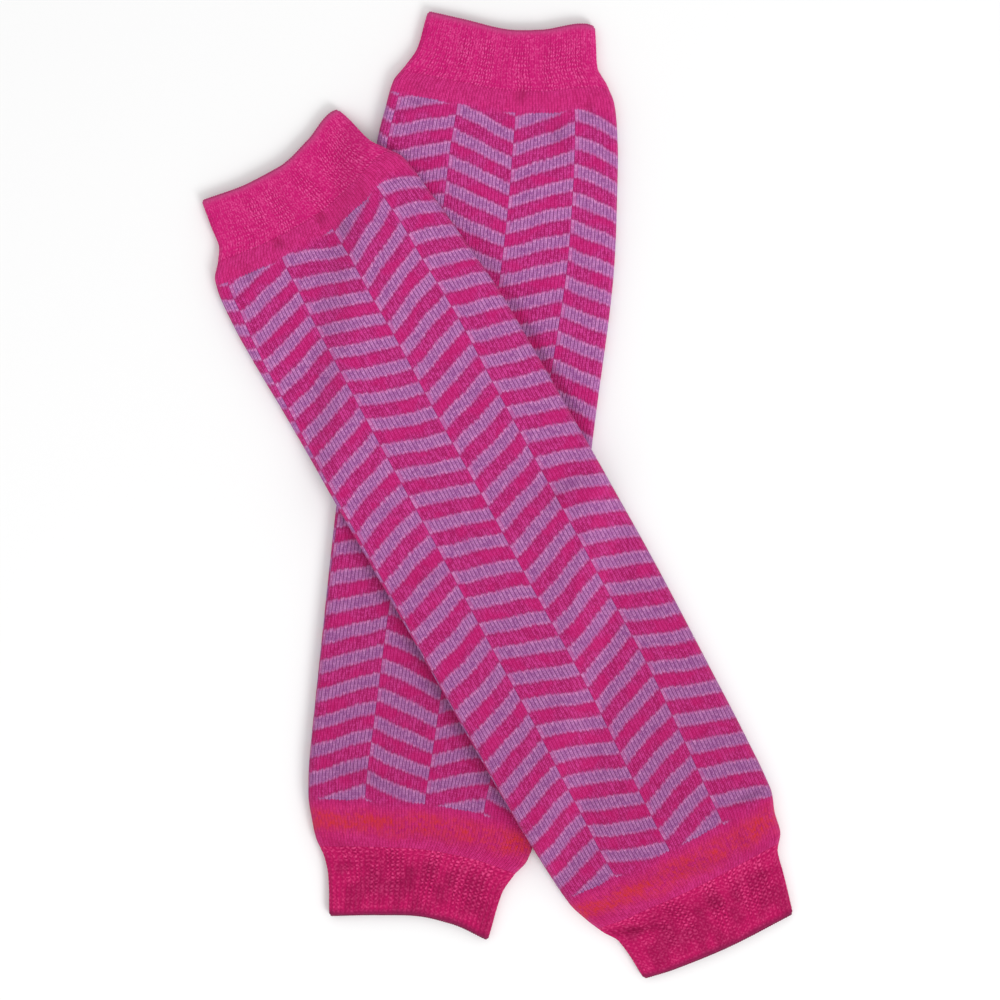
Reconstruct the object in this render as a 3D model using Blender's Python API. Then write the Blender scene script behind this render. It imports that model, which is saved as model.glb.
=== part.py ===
"""A pair of knitted leg warmers, laid flat and crossed: the over one lies on the under one.

Each leg warmer is knitted in the round as three pieces: a ribbed top cuff, a two-colour leg and a ribbed
ankle cuff. Every piece is a flattened tube with a real wall and open ends. Its ribs are raised in the outer
points of the upper side, over a plain inside, and its underside is plain.

Sizes are in millimetres and become metres where the mesh is made. +Z is up, the underside lies on Z = 0 and
the origin is under the middle of the pair. Stations run along a leg warmer from its top cuff to its ankle
cuff, and places across run from the left fold at -1, over the axis at 0, to the right fold at 1.
"""

import math
from bisect import bisect_right
from collections import namedtuple

import bmesh
import bpy
from mathutils import Vector

MM = 0.001

# Along a leg warmer
LENGTH = 310.0  # from edge to edge
TOP_RIB = 22.0  # length of the ribbed top cuff
ANKLE_RIB = 24.0  # length of the ribbed ankle cuff
EDGE_REACH = 60.0  # how far into the knit the slant of an open edge still bends the courses
SEAM_GAP = 0.4  # between two pieces where they are knitted on
LAY_GAP = 0.5  # between the two leg warmers

# Through the cloth
LEG_WALL = 1.5
CUFF_WALL = 1.4  # in the valley between two ribs
RIB_RISE = 0.45  # of a rib's crest over its valley
RIM = 0.5  # rounding of an open edge
CROWN = 0.5  # how much the upper layer stands up along the middle

# Round a cuff
RIBS = 36  # across the upper side

# Where the over leg warmer steps off the under one
STEP_START = 0.0  # from the fold of the under one, outwards
STEP_RUN = 15.0

# Mesh steps
ROUND_STEPS = 3  # along a quarter of a fold
ACROSS = 16  # between the folds, above and below
OVER_LEG_PITCH = 8.0
UNDER_LEG_PITCH = 13.0
CUFF_PITCH = 5.5
SHARP = math.radians(35.0)  # a bend over this keeps its edge in the shading

PINK = (0.64, 0.025, 0.19, 1.0)
PINK_AND_LILAC = (0.55, 0.09, 0.30, 1.0)
ROUGHNESS = 0.9

Section = namedtuple("Section", "station left right thick")
Edge = namedtuple("Edge", "across along")
LegWarmer = namedtuple("LegWarmer", "name start turn sections top_edge ankle_edge")
Ring = namedtuple("Ring", "points turns")
WHOLE_TURN = 2.0  # a ring's turns run from 0 at the left fold to 1 at the right one, and on to this

OVER = LegWarmer(
    name="over",
    start=(-76.2, 114.7),
    turn=29.5,
    sections=[
        Section(station=-5.0, left=28.6, right=27.2, thick=3.5),
        Section(station=0.0, left=28.9, right=28.9, thick=3.7),
        Section(station=10.0, left=30.4, right=31.4, thick=3.8),
        Section(station=15.5, left=31.0, right=34.8, thick=3.9),
        Section(station=20.5, left=34.0, right=38.3, thick=4.1),
        Section(station=25.5, left=38.0, right=39.4, thick=4.5),
        Section(station=34.0, left=39.7, right=40.4, thick=5.0),
        Section(station=50.0, left=40.4, right=42.2, thick=5.2),
        Section(station=85.0, left=39.8, right=44.9, thick=5.2),
        Section(station=170.0, left=39.4, right=45.4, thick=5.2),
        Section(station=225.0, left=39.4, right=44.0, thick=5.4),
        Section(station=258.0, left=38.6, right=42.7, thick=5.6),
        Section(station=271.0, left=37.6, right=41.6, thick=5.4),
        Section(station=279.0, left=35.2, right=38.8, thick=4.8),
        Section(station=285.5, left=32.4, right=37.3, thick=4.3),
        Section(station=291.0, left=29.2, right=33.2, thick=3.9),
        Section(station=298.0, left=28.4, right=31.4, thick=3.8),
        Section(station=312.0, left=28.0, right=27.4, thick=3.5),
    ],
    top_edge=[
        Edge(across=-1.0, along=0.0),
        Edge(across=-0.35, along=2.9),
        Edge(across=0.0, along=3.1),
        Edge(across=0.47, along=0.0),
        Edge(across=0.92, along=-4.5),
        Edge(across=1.0, along=-4.2),
    ],
    ankle_edge=[
        Edge(across=-1.0, along=-4.1),
        Edge(across=-0.6, along=-1.7),
        Edge(across=0.25, along=1.0),
        Edge(across=1.0, along=1.7),
    ],
)

UNDER = LegWarmer(
    name="under",
    start=(4.9, 162.7),
    turn=-6.0,
    sections=[
        Section(station=-2.0, left=28.6, right=28.4, thick=3.6),
        Section(station=4.0, left=29.6, right=29.4, thick=3.7),
        Section(station=13.0, left=31.2, right=30.9, thick=3.9),
        Section(station=19.0, left=34.4, right=34.9, thick=4.1),
        Section(station=25.0, left=38.2, right=37.9, thick=4.5),
        Section(station=34.0, left=39.8, right=39.8, thick=5.0),
        Section(station=47.0, left=41.5, right=41.4, thick=5.2),
        Section(station=88.0, left=42.0, right=43.8, thick=5.2),
        Section(station=140.0, left=42.2, right=42.5, thick=5.2),
        Section(station=225.0, left=42.5, right=41.2, thick=5.4),
        Section(station=258.0, left=42.4, right=39.6, thick=5.6),
        Section(station=271.0, left=41.5, right=37.6, thick=5.4),
        Section(station=279.0, left=39.5, right=37.0, thick=4.8),
        Section(station=286.0, left=37.2, right=35.2, thick=4.3),
        Section(station=291.5, left=34.0, right=31.2, thick=3.9),
        Section(station=298.0, left=31.9, right=27.9, thick=3.8),
        Section(station=314.0, left=29.9, right=24.9, thick=3.5),
    ],
    top_edge=[
        Edge(across=-1.0, along=0.3),
        Edge(across=-0.6, along=1.7),
        Edge(across=0.0, along=3.8),
        Edge(across=0.36, along=2.7),
        Edge(across=0.89, along=-1.0),
        Edge(across=1.0, along=-0.4),
    ],
    ankle_edge=[
        Edge(across=-1.0, along=1.4),
        Edge(across=-0.45, along=-0.7),
        Edge(across=0.0, along=-1.8),
        Edge(across=0.48, along=-0.3),
        Edge(across=1.0, along=4.1),
    ],
)


def clear_scene():
    for obj in list(bpy.data.objects):
        bpy.data.objects.remove(obj)


def smooth(points, place):
    """The height at a place of the curve through (place, height) points, which never overshoots them."""
    places = [at for at, _ in points]
    heights = [height for _, height in points]
    if place <= places[0]:
        return heights[0]
    if place >= places[-1]:
        return heights[-1]
    i = bisect_right(places, place) - 1
    slopes = [(heights[k + 1] - heights[k]) / (places[k + 1] - places[k]) for k in range(len(points) - 1)]

    def slope_at(k):
        before, after = slopes[max(k - 1, 0)], slopes[min(k, len(slopes) - 1)]
        return 0.0 if before * after <= 0.0 else 2.0 * before * after / (before + after)

    run = places[i + 1] - places[i]
    t = (place - places[i]) / run
    rise = heights[i + 1] - heights[i]
    bend_in, bend_out = slope_at(i) * run - rise, rise - slope_at(i + 1) * run
    return heights[i] + rise * t + t * (1.0 - t) * (bend_in * (1.0 - t) + bend_out * t)


def measure(leg, column, station):
    return smooth([(row.station, getattr(row, column)) for row in leg.sections], station)


def slant(leg, across, course):
    """How far a course lies past its station there, because the open edges aren't square to the axis."""
    top = smooth(leg.top_edge, across) * math.exp(-((course / EDGE_REACH) ** 2))
    ankle = smooth(leg.ankle_edge, across) * math.exp(-(((LENGTH - course) / EDGE_REACH) ** 2))
    return top + ankle


def crown(across):
    return CROWN * (1.0 - min(abs(across), 1.0) ** 2) ** 2


def directions(leg):
    """Along the axis, towards the ankle, and across it, towards the right fold."""
    turn = math.radians(leg.turn)
    return Vector((math.sin(turn), -math.cos(turn))), Vector((math.cos(turn), math.sin(turn)))


def lift(place):
    """The height at which the underside of the over leg warmer lies, over this place on the ground."""
    along, across = directions(UNDER)
    out = place - Vector(UNDER.start)
    station, offset = out.dot(along), out.dot(across)
    left, right = measure(UNDER, "left", station), measure(UNDER, "right", station)
    beyond = max(-left - offset, offset - right)
    t = min(max((beyond - STEP_START) / STEP_RUN, 0.0), 1.0)
    top = measure(UNDER, "thick", station) + crown(offset / (left if offset < 0.0 else right))
    return (top + LAY_GAP) * (1.0 - t * t * (3.0 - 2.0 * t))


def even_steps(length, count):
    return [length * i / count for i in range(count + 1)]


def fold_steps(quarter, straight):
    """Distances along half a ring: close together round its two folds, and even between them."""
    first = even_steps(quarter, ROUND_STEPS)
    middle = [quarter + step for step in even_steps(straight, ACROSS)[1:]]
    last = [quarter + straight + step for step in first[1:]]
    return first + middle + last


def half_ring(width, radius, ribs):
    """Half a ring from the left fold to the right one: each spot, and how much of the half lies before it."""
    quarter, straight = math.pi / 2 * radius, width - 2.0 * radius
    length = 2.0 * quarter + straight
    steps = even_steps(length, 2 * ribs) if ribs else fold_steps(quarter, straight)
    half = []
    for i, step in enumerate(steps):
        if step <= quarter:
            angle = step / radius
            out = Vector((-math.cos(angle), math.sin(angle)))
            spot = Vector((radius, 0.0)) + out * radius
        elif step < quarter + straight:
            out = Vector((0.0, 1.0))
            spot = Vector((radius + step - quarter, radius))
        else:
            angle = (length - step) / radius
            out = Vector((math.cos(angle), math.sin(angle)))
            spot = Vector((width - radius, 0.0)) + out * radius
        rise = RIB_RISE if ribs and i % 2 else 0.0
        half.append((spot + out * rise, step / length))
    return half


def make_ring(leg, course, inset, cuff=False, ribs=0):
    """One ring of a wall, this far in from the outside: over the top to the right fold, and back below."""
    left = measure(leg, "left", course + slant(leg, -1.0, course))
    right = measure(leg, "right", course + slant(leg, 1.0, course))
    thick = measure(leg, "thick", course)
    if cuff:
        thick -= RIB_RISE
    radius = thick / 2 - inset
    width = left + right - 2.0 * inset
    upper, lower = half_ring(width, radius, ribs), half_ring(width, radius, 0)
    along, across = directions(leg)
    points, turns = [], []
    spots = [(spot, turn, 1.0) for spot, turn in upper]
    spots += [(spot, WHOLE_TURN - turn, -1.0) for spot, turn in reversed(lower[1:-1])]
    for spot, turn, side in spots:
        offset = spot.x - left + inset
        place_across = min(max(offset / (left if offset < 0.0 else right), -1.0), 1.0)
        station = course + slant(leg, place_across, course)
        ground = Vector(leg.start) + along * station + across * offset
        height = thick / 2 + side * spot.y
        if side > 0.0:
            height += crown(place_across) * min(spot.y / radius, 1.0)
        if leg is OVER:
            height += lift(ground)
        points.append(Vector((ground.x, ground.y, height)) * MM)
        turns.append(turn)
    return Ring(points, turns)


def skin(mesh, rings):
    """Makes the faces between rings of the same count, and gives their vertices, ring by ring."""
    rows = [[mesh.verts.new(point) for point in ring.points] for ring in rings]
    for row, following in zip(rows, rows[1:]):
        for i, corner in enumerate(row):
            j = (i + 1) % len(row)
            mesh.faces.new([corner, row[j], following[j], following[i]])
    return rows


def close_end(mesh, outer, outer_ring, inner, inner_ring):
    """Triangles across the wall's end, from the outer ring to the inner one, which may differ in count."""
    i, j = 0, 0
    outer_next = outer_ring.turns[1:] + [WHOLE_TURN]
    inner_next = inner_ring.turns[1:] + [WHOLE_TURN]
    while i < len(outer) or j < len(inner):
        near, far = outer[i % len(outer)], inner[j % len(inner)]
        if j >= len(inner) or (i < len(outer) and outer_next[i] <= inner_next[j]):
            mesh.faces.new([near, far, outer[(i + 1) % len(outer)]])
            i += 1
        else:
            mesh.faces.new([near, far, inner[(j + 1) % len(inner)]])
            j += 1


def make_tube(name, outer_rings, inner_rings, colour):
    """A wall between an outer and an inner skin, closed across both ends and open through the middle."""
    mesh = bmesh.new()
    outer = skin(mesh, outer_rings)
    inner = skin(mesh, inner_rings)
    for end in (0, -1):
        close_end(mesh, outer[end], outer_rings[end], inner[end], inner_rings[end])
    bmesh.ops.recalc_face_normals(mesh, faces=mesh.faces)
    data = bpy.data.meshes.new(name)
    mesh.to_mesh(data)
    mesh.free()
    data.shade_smooth()
    data.set_sharp_from_angle(angle=SHARP)
    material = bpy.data.materials.new(name)
    material.use_nodes = True
    shader = material.node_tree.nodes["Principled BSDF"]
    shader.inputs["Base Color"].default_value = colour
    shader.inputs["Roughness"].default_value = ROUGHNESS
    shader.inputs["Metallic"].default_value = 0.0
    data.materials.append(material)
    obj = bpy.data.objects.new(name, data)
    bpy.context.scene.collection.objects.link(obj)
    return obj


def courses_between(start, end, pitch):
    count = max(2, math.ceil((end - start) / pitch))
    return [start + step for step in even_steps(end - start, count)]


def make_leg(leg, pitch):
    courses = courses_between(TOP_RIB + SEAM_GAP / 2, LENGTH - ANKLE_RIB - SEAM_GAP / 2, pitch)
    outer = [make_ring(leg, course, 0.0) for course in courses]
    inner = [make_ring(leg, course, LEG_WALL) for course in courses]
    return make_tube(f"{leg.name}_leg", outer, inner, PINK_AND_LILAC)


def make_cuff(leg, part, open_edge, seam):
    """A ribbed cuff from its rounded open edge to where it is knitted on to the leg."""
    inwards = 1.0 if seam > open_edge else -1.0
    last = seam - inwards * SEAM_GAP / 2
    body = courses_between(0.0, abs(last - open_edge) - RIM, CUFF_PITCH)
    courses = [open_edge + inwards * (RIM + step) for step in body]
    outer = [make_ring(leg, open_edge, RIM, cuff=True, ribs=RIBS)]
    outer += [make_ring(leg, course, 0.0, cuff=True, ribs=RIBS) for course in courses]
    inner = [make_ring(leg, course, CUFF_WALL, cuff=True) for course in [open_edge] + courses]
    return make_tube(f"{leg.name}_{part}", outer, inner, PINK)


def main():
    clear_scene()
    for leg, pitch in ((UNDER, UNDER_LEG_PITCH), (OVER, OVER_LEG_PITCH)):
        make_cuff(leg, "top_cuff", 0.0, TOP_RIB)
        make_leg(leg, pitch)
        make_cuff(leg, "ankle_cuff", LENGTH, LENGTH - ANKLE_RIB)


main()
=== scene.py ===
# %% [markdown]
# # A pair of knitted leg warmers, laid flat and crossed
#
# Each leg warmer is knitted in the round: a ribbed top cuff, a leg in two yarns, and a ribbed ankle cuff.
# The frame already holds each of these six pieces as a plain, rigid wall of the right size. This lesson
# dresses them: it makes each wall again with the fine surface that yarn gives it, and then gives it the
# yarn's colours.
#
# The frame comes first, so that everything after it is placed by the frame.

# %% Load the frame
import math
from collections import namedtuple

import bpy
import numpy as np
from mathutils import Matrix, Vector


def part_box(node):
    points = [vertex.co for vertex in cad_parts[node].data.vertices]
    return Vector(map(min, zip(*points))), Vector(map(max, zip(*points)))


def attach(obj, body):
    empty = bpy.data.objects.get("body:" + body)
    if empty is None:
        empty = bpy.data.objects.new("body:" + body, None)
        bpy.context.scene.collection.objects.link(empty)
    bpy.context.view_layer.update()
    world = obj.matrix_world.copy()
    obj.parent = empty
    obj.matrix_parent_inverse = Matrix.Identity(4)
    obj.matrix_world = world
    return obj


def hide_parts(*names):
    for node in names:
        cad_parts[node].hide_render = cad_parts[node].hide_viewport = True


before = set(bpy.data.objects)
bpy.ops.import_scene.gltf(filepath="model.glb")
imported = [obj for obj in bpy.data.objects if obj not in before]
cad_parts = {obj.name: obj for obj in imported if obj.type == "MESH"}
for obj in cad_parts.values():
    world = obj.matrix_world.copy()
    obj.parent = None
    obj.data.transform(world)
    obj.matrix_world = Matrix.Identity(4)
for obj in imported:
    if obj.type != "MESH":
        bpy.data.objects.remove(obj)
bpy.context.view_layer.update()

print("nodes in the frame:", ", ".join(sorted(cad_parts)))

# %% [markdown]
# ## The cut
#
# A knitted tube has no flat pattern. What decides its shape is how wide it lies at each place along it, so
# each leg warmer is a short table of sections, in millimetres, with the same values as the frame's solids.
# `left` and `right` are the folds' distances from the axis, and `thick` is the height of both layers
# together. Two more tables say how far the open edges stray from square, at places across the tube from -1
# at the left fold to 1 at the right one. `start` is the place on the ground where the axis begins, and `turn`
# is how many degrees it is turned from the direction of -Y.

# %% The sizes that both leg warmers share
MM = 0.001
LENGTH = 310.0
TOP_RIB = 22.0
ANKLE_RIB = 24.0
LEG_WALL = 1.5
CUFF_WALL = 1.4
RIBS = 36

Section = namedtuple("Section", "station left right thick")
Edge = namedtuple("Edge", "across along")
Crease = namedtuple("Crease", "across station turn long wide height")
Twist = namedtuple("Twist", "station wales")
Count = namedtuple("Count", "station courses")
LegWarmer = namedtuple("LegWarmer", "name start turn sections top_edge ankle_edge creases twist courses")


def rows_of(kind, *rows):
    """A table with each row made this kind, whose fields name its columns."""
    return [kind(*row) for row in rows]


print("length over both cuffs:", LENGTH, "mm, of which the leg is", LENGTH - TOP_RIB - ANKLE_RIB)

# %% [markdown]
# ## The creases
#
# Laid flat, knitwear still has a few soft forms: channels in the top cuff, puckers where the leg is gathered
# on to it, the faint line of an old fold half-way, a low roll where the leg blouses over the ankle cuff, and
# the dip beyond that roll. The over leg warmer also presses a trough into the under one along each of its own
# edges. Each is one row here: its middle, which way it runs (in degrees, 0 being along the leg), how long and
# wide it is, and how far it stands up (or sinks in, if negative). Sinking is kept under what the hollow
# between the two layers allows.

# %% The over leg warmer
OVER = LegWarmer(
    name="over",
    start=(-76.2, 114.7),
    turn=29.5,
    sections=rows_of(
        Section,  # station, left, right, thick
        (-5.0, 28.6, 27.2, 3.5),
        (0.0, 28.9, 28.9, 3.7),
        (10.0, 30.4, 31.4, 3.8),
        (15.5, 31.0, 34.8, 3.9),
        (20.5, 34.0, 38.3, 4.1),
        (25.5, 38.0, 39.4, 4.5),
        (34.0, 39.7, 40.4, 5.0),
        (50.0, 40.4, 42.2, 5.2),
        (85.0, 39.8, 44.9, 5.2),
        (170.0, 39.4, 45.4, 5.2),
        (225.0, 39.4, 44.0, 5.4),
        (258.0, 38.6, 42.7, 5.6),
        (271.0, 37.6, 41.6, 5.4),
        (279.0, 35.2, 38.8, 4.8),
        (285.5, 32.4, 37.3, 4.3),
        (291.0, 29.2, 33.2, 3.9),
        (298.0, 28.4, 31.4, 3.8),
        (312.0, 28.0, 27.4, 3.5),
    ),
    top_edge=rows_of(
        Edge,  # across, along
        (-1.0, 0.0), (-0.35, 2.9), (0.0, 3.1), (0.47, 0.0), (0.92, -4.5), (1.0, -4.2),
    ),
    ankle_edge=rows_of(
        Edge,  # across, along
        (-1.0, -4.1), (-0.6, -1.7), (0.25, 1.0), (1.0, 1.7),
    ),
    creases=rows_of(
        Crease,  # across, station, turn, long, wide, height
        # puckers under the top cuff
        (-13.0, 24.8, 6.0, 2.8, 1.7, -1.05),
        (-9.5, 30.5, 0.0, 6.0, 2.4, 0.35),
        (4.0, 24.3, -8.0, 2.6, 1.8, -1.10),
        (9.0, 31.0, -4.0, 4.2, 1.6, -0.60),
        (-27.0, 28.0, 10.0, 4.5, 1.8, -0.60),
        (20.5, 25.4, -12.0, 4.0, 1.8, -0.60),
        # soft channels in the top cuff
        (-16.0, 11.0, 2.0, 8.0, 1.6, -0.22),
        (-3.6, 12.0, -2.0, 9.0, 1.8, -0.26),
        (18.9, 11.5, -4.0, 8.0, 2.2, -0.26),
        # the old fold half-way
        (-27.0, 148.5, 84.0, 9.0, 4.0, -0.40),
        (29.0, 146.5, 95.0, 11.0, 4.5, -0.50),
        (2.0, 151.0, 88.0, 22.0, 6.0, 0.25),
        # the roll over the ankle cuff and the dip behind it
        (3.0, 283.0, 74.0, 22.0, 3.6, 1.35),
        (-9.0, 290.5, 74.0, 17.0, 3.2, -0.75),
        (-25.0, 284.5, 66.0, 9.0, 2.4, 0.70),
        (-24.0, 288.6, 66.0, 9.0, 1.6, -0.85),
        (6.3, 295.3, 70.0, 5.0, 1.8, -0.60),
        (26.2, 294.1, 80.0, 4.0, 1.6, -0.50),
        (24.5, 281.0, 4.0, 9.0, 2.6, -0.45),
        (33.5, 269.3, 86.0, 7.0, 1.3, -0.55),
    ),
    twist=rows_of(
        Twist,  # station, wales
        (40.0, 4.8), (60.0, 3.6), (100.0, 2.3), (140.0, 1.8), (180.0, 1.2), (210.0, 1.4), (240.0, 0.5),
        (262.0, -0.5),
    ),
    courses=rows_of(
        Count,  # station, courses
        (18.0, -11.9), (28.1, 0.0), (87.5, 76.0), (180.0, 188.5), (210.6, 224.9), (272.0, 300.0),
        (290.0, 321.0),
    ),
)
print("the over leg warmer has", len(OVER.sections), "sections and", len(OVER.creases), "creases")

# %% The under leg warmer
UNDER = LegWarmer(
    name="under",
    start=(4.9, 162.7),
    turn=-6.0,
    sections=rows_of(
        Section,  # station, left, right, thick
        (-2.0, 28.6, 28.4, 3.6),
        (4.0, 29.6, 29.4, 3.7),
        (13.0, 31.2, 30.9, 3.9),
        (19.0, 34.4, 34.9, 4.1),
        (25.0, 38.2, 37.9, 4.5),
        (34.0, 39.8, 39.8, 5.0),
        (47.0, 41.5, 41.4, 5.2),
        (88.0, 42.0, 43.8, 5.2),
        (140.0, 42.2, 42.5, 5.2),
        (225.0, 42.5, 41.2, 5.4),
        (258.0, 42.4, 39.6, 5.6),
        (271.0, 41.5, 37.6, 5.4),
        (279.0, 39.5, 37.0, 4.8),
        (286.0, 37.2, 35.2, 4.3),
        (291.5, 34.0, 31.2, 3.9),
        (298.0, 31.9, 27.9, 3.8),
        (314.0, 29.9, 24.9, 3.5),
    ),
    top_edge=rows_of(
        Edge,  # across, along
        (-1.0, 0.3), (-0.6, 1.7), (0.0, 3.8), (0.36, 2.7), (0.89, -1.0), (1.0, -0.4),
    ),
    ankle_edge=rows_of(
        Edge,  # across, along
        (-1.0, 1.4), (-0.45, -0.7), (0.0, -1.8), (0.48, -0.3), (1.0, 4.1),
    ),
    creases=rows_of(
        Crease,  # across, station, turn, long, wide, height
        # puckers under the top cuff
        (5.4, 24.8, -4.0, 2.8, 2.0, -1.10),
        (-8.2, 28.5, 4.0, 5.0, 3.2, 0.35),
        (-29.7, 26.0, 62.0, 4.0, 1.6, -0.50),
        (-29.0, 31.8, 70.0, 3.6, 1.5, -0.45),
        (19.3, 36.5, 12.0, 6.5, 2.8, -0.55),
        (29.0, 27.0, -14.0, 4.2, 1.9, -0.55),
        # soft channels in the top cuff
        (-17.1, 12.0, 2.0, 9.0, 1.7, -0.26),
        (-1.6, 13.0, 0.0, 8.5, 1.6, -0.24),
        (12.4, 11.0, 1.0, 9.0, 2.0, -0.28),
        (24.6, 14.0, -2.0, 7.0, 1.4, -0.20),
        # the roll over the ankle cuff and the dip behind it
        (4.0, 283.6, 80.0, 22.0, 3.6, 1.35),
        (-6.0, 292.0, 76.0, 18.0, 3.3, -0.75),
        (-4.4, 297.1, 85.0, 8.0, 2.2, -0.45),
        (-29.2, 286.6, 75.0, 5.0, 1.5, -0.50),
        (-24.0, 262.0, 82.0, 10.0, 3.5, -0.35),
        # pressed in along the edges of the over leg warmer
        (-0.8, 230.7, 35.5, 80.0, 2.6, -0.85),
        (23.0, 114.7, 35.5, 38.0, 1.9, -0.95),
    ),
    twist=rows_of(Twist, (51.0, 4.2), (257.0, 0.4)),
    courses=rows_of(
        Count,  # station, courses
        (18.0, -13.2), (28.6, 0.0), (88.7, 76.0), (208.0, 222.0), (240.0, 261.0), (271.4, 300.0),
        (290.0, 321.5),
    ),
)
print("the under leg warmer has", len(UNDER.sections), "sections and", len(UNDER.creases), "creases")

# %% [markdown]
# ## From a table to a smooth form
#
# A table gives a width at a few places; the cloth needs one everywhere. `curve` joins the rows with cubic
# pieces whose slopes are the harmonic means of their neighbours, so the curve never bulges past the rows.
# It takes whole arrays at once, which is what makes a fine mesh quick to work out.

# %% Curves through tables
# how far along the leg the slant of an open edge is felt
EDGE_REACH = 60.0


def curve(rows, at, column=1):
    """Heights at these places of the curve through a table's rows, which never overshoots them."""
    places = np.array([row[0] for row in rows])
    heights = np.array([row[column] for row in rows])
    slopes = np.diff(heights) / np.diff(places)
    before, after = np.append(slopes[0], slopes), np.append(slopes, slopes[-1])
    total = np.where(before * after > 0.0, before + after, 1.0)
    tangents = np.where(before * after > 0.0, 2.0 * before * after / total, 0.0)
    i = np.clip(np.searchsorted(places, at, side="right") - 1, 0, len(places) - 2)
    run = places[i + 1] - places[i]
    t = np.clip((at - places[i]) / run, 0.0, 1.0)
    rise = heights[i + 1] - heights[i]
    bend_in, bend_out = tangents[i] * run - rise, rise - tangents[i + 1] * run
    return heights[i] + rise * t + t * (1.0 - t) * (bend_in * (1.0 - t) + bend_out * t)


def measure(leg, column, station):
    """One of the sections' measures at this station."""
    return curve(leg.sections, station, Section._fields.index(column))


def slant(leg, across, course):
    """How far a course lies past its station there, because the open edges aren't square to the axis."""
    top = curve(leg.top_edge, across) * np.exp(-((course / EDGE_REACH) ** 2))
    ankle = curve(leg.ankle_edge, across) * np.exp(-(((LENGTH - course) / EDGE_REACH) ** 2))
    return top + ankle


MIDDLE = LENGTH / 2
over_width = measure(OVER, "left", MIDDLE) + measure(OVER, "right", MIDDLE)
print("width of the over leg half-way (mm):", float(over_width))

# %% [markdown]
# ## Where the cloth lies
#
# Seen end-on, a tube laid flat is a long slot with round ends: two flat layers joined by two folds. `cloth`
# walks round that slot. `turn` says how far round a point is: 0 at the left fold, 1 at the right one after
# crossing the upper layer, and 2 back at the left fold after the lower one. It also gives the way out of the
# cloth there, which is the direction in which yarn stands up, and how deep the point lies, which the
# materials shade. The upper layer gets the creases; the over leg warmer is lifted by the one that lies
# beneath it, and steps down beside it over a short run.

# %% The form of one leg warmer
# how much higher the upper layer stands along its middle
CROWN = 0.5
# the air between the two leg warmers, and how far beside the under one the over one steps down
LAY_GAP = 0.5
STEP_RUN = 15.0


def directions(leg):
    """The way along the leg and the way across it, on the ground."""
    turn = math.radians(leg.turn)
    return np.array([math.sin(turn), -math.cos(turn)]), np.array([math.cos(turn), math.sin(turn)])


def crown(across):
    """The upper layer stands up a little along the middle."""
    return CROWN * (1.0 - np.minimum(np.abs(across), 1.0) ** 2) ** 2


def lift(x, y):
    """The height at which the underside of the over leg warmer lies, over this place on the ground."""
    along, across = directions(UNDER)
    out = np.stack([x - UNDER.start[0], y - UNDER.start[1]], -1)
    station, offset = out @ along, out @ across
    left, right = measure(UNDER, "left", station), measure(UNDER, "right", station)
    beyond = np.maximum(-left - offset, offset - right)
    t = np.clip(beyond / STEP_RUN, 0.0, 1.0)
    top = measure(UNDER, "thick", station) + crown(offset / np.where(offset < 0.0, left, right))
    return (top + LAY_GAP) * (1.0 - t * t * (3.0 - 2.0 * t))


def creased(leg, offset, station):
    """How far the creases raise or sink the upper layer here."""
    height = np.zeros(np.broadcast(offset, station).shape)
    for crease in leg.creases:
        turn = math.radians(crease.turn)
        aside, ahead = offset - crease.across, station - crease.station
        along = ahead * math.cos(turn) + aside * math.sin(turn)
        beside = aside * math.cos(turn) - ahead * math.sin(turn)
        height += crease.height * np.exp(-((along / crease.long) ** 2) - (beside / crease.wide) ** 2)
    return height


def cloth(leg, course, turn, inset, valley=0.0):
    """Points so far in from the face, the way out of the cloth, and how far they lie below a smooth face."""
    lower = turn >= 1.0
    half = np.where(lower, 2.0 - turn, turn)
    left = measure(leg, "left", course + slant(leg, -1.0, course))
    right = measure(leg, "right", course + slant(leg, 1.0, course))
    thick = measure(leg, "thick", course) - valley
    radius = thick / 2 - inset
    width = left + right - 2.0 * inset
    quarter = math.pi / 2 * radius
    length = 2.0 * quarter + width - 2.0 * radius
    first = np.clip(half * length / radius, 0.0, math.pi / 2)
    last = np.clip((1.0 - half) * length / radius, 0.0, math.pi / 2)
    flat = np.clip(half * length - quarter, 0.0, width - 2.0 * radius)
    sideways = np.cos(last) - np.cos(first)
    upwards = np.minimum(np.sin(first), np.sin(last))
    offset = radius + flat + radius * sideways - left + inset
    place = np.clip(offset / np.where(offset < 0.0, left, right), -1.0, 1.0)
    station = course + slant(leg, place, course)
    along, across = directions(leg)
    x = leg.start[0] + along[0] * station + across[0] * offset
    y = leg.start[1] + along[1] * station + across[1] * offset
    side = np.where(lower, -1.0, 1.0)
    fold = np.where(lower, 0.0, creased(leg, offset, station) * upwards**2)
    z = thick / 2 + side * radius * upwards + np.where(lower, 0.0, crown(place) * upwards) + fold
    if leg is OVER:
        z = z + lift(x, y)
    out = np.stack([across[0] * sideways, across[1] * sideways, side * upwards], -1)
    return np.stack([x, y, z], -1) * MM, out, np.maximum(-fold, 0.0) + inset


print("over leg warmer's upper face at its middle (m):", cloth(OVER, np.array(MIDDLE), np.array(0.5), 0.0)[0])

# %% [markdown]
# ## Stitches as coordinates
#
# A knitter counts in wales (the columns of stitches) and courses (the rows). If every point of the cloth
# knows its wale and course, both the relief and the colour pattern become short formulas, and they follow
# every widening and every curved edge as real stitches do. There are 144 wales round. The columns drift a
# little across the flattened tube, because knitting in the round spirals: `twist` is how many wales past the
# left fold the pattern starts, and `courses` counts the courses up to a station. Real wales and courses are
# never quite straight either, so both wander by a fraction of a stitch; each wave runs a whole number of
# times round, so that it meets itself.

# %% Wales and courses of the leg
WALES = 144
FACE_WALES = WALES // 2

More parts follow.
